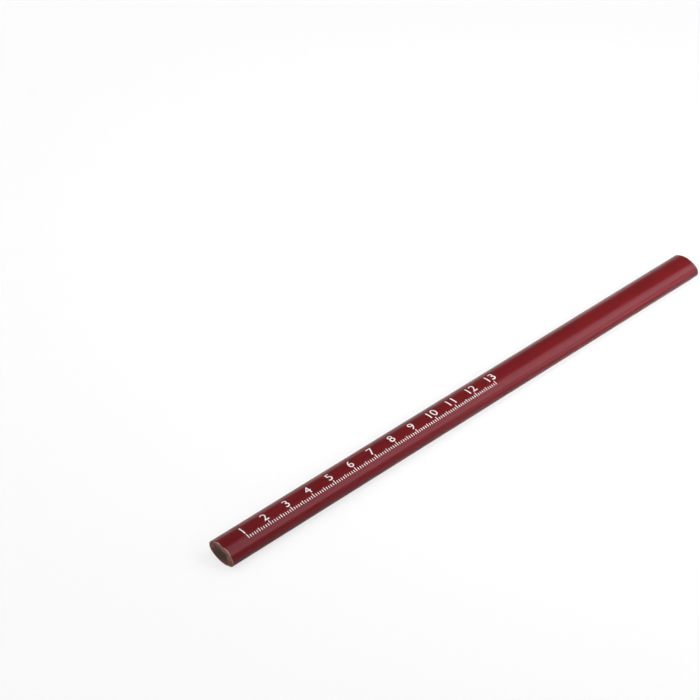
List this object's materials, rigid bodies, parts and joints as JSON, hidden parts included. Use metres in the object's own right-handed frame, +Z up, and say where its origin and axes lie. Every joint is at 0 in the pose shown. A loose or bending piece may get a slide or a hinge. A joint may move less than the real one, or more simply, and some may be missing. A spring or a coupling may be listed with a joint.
{
  "type": "carpenter pencil",
  "caption": "Unsharpened oval carpenter pencil: a flat graphite lead glued between two grooved wooden slats, with a glossy dark red lacquer, for marking wood.",
  "frame": {"origin": "on the table under the middle of the pencil as it lies on its broad side", "axes": "+X along the length, from the sawn end that faces the viewer to the other; +Y across the width; +Z up from the table through the thickness"},
  "size_m": [0.24, 0.013, 0.0081],
  "materials": {
    "wood": "raw sawn end grain",
    "graphite": "dull dark grey with a faint sheen",
    "glue": "dried wood glue",
    "primer": "matt pale filler",
    "lacquer": "gloss dark red lacquer"
  },
  "bodies": {
    "root": {"upper_slat": "wood", "lower_slat": "wood", "lead": "graphite", "glue_film": "glue", "primer_coat": "primer", "lacquer_coat": "lacquer"}
  },
  "joints": []
}
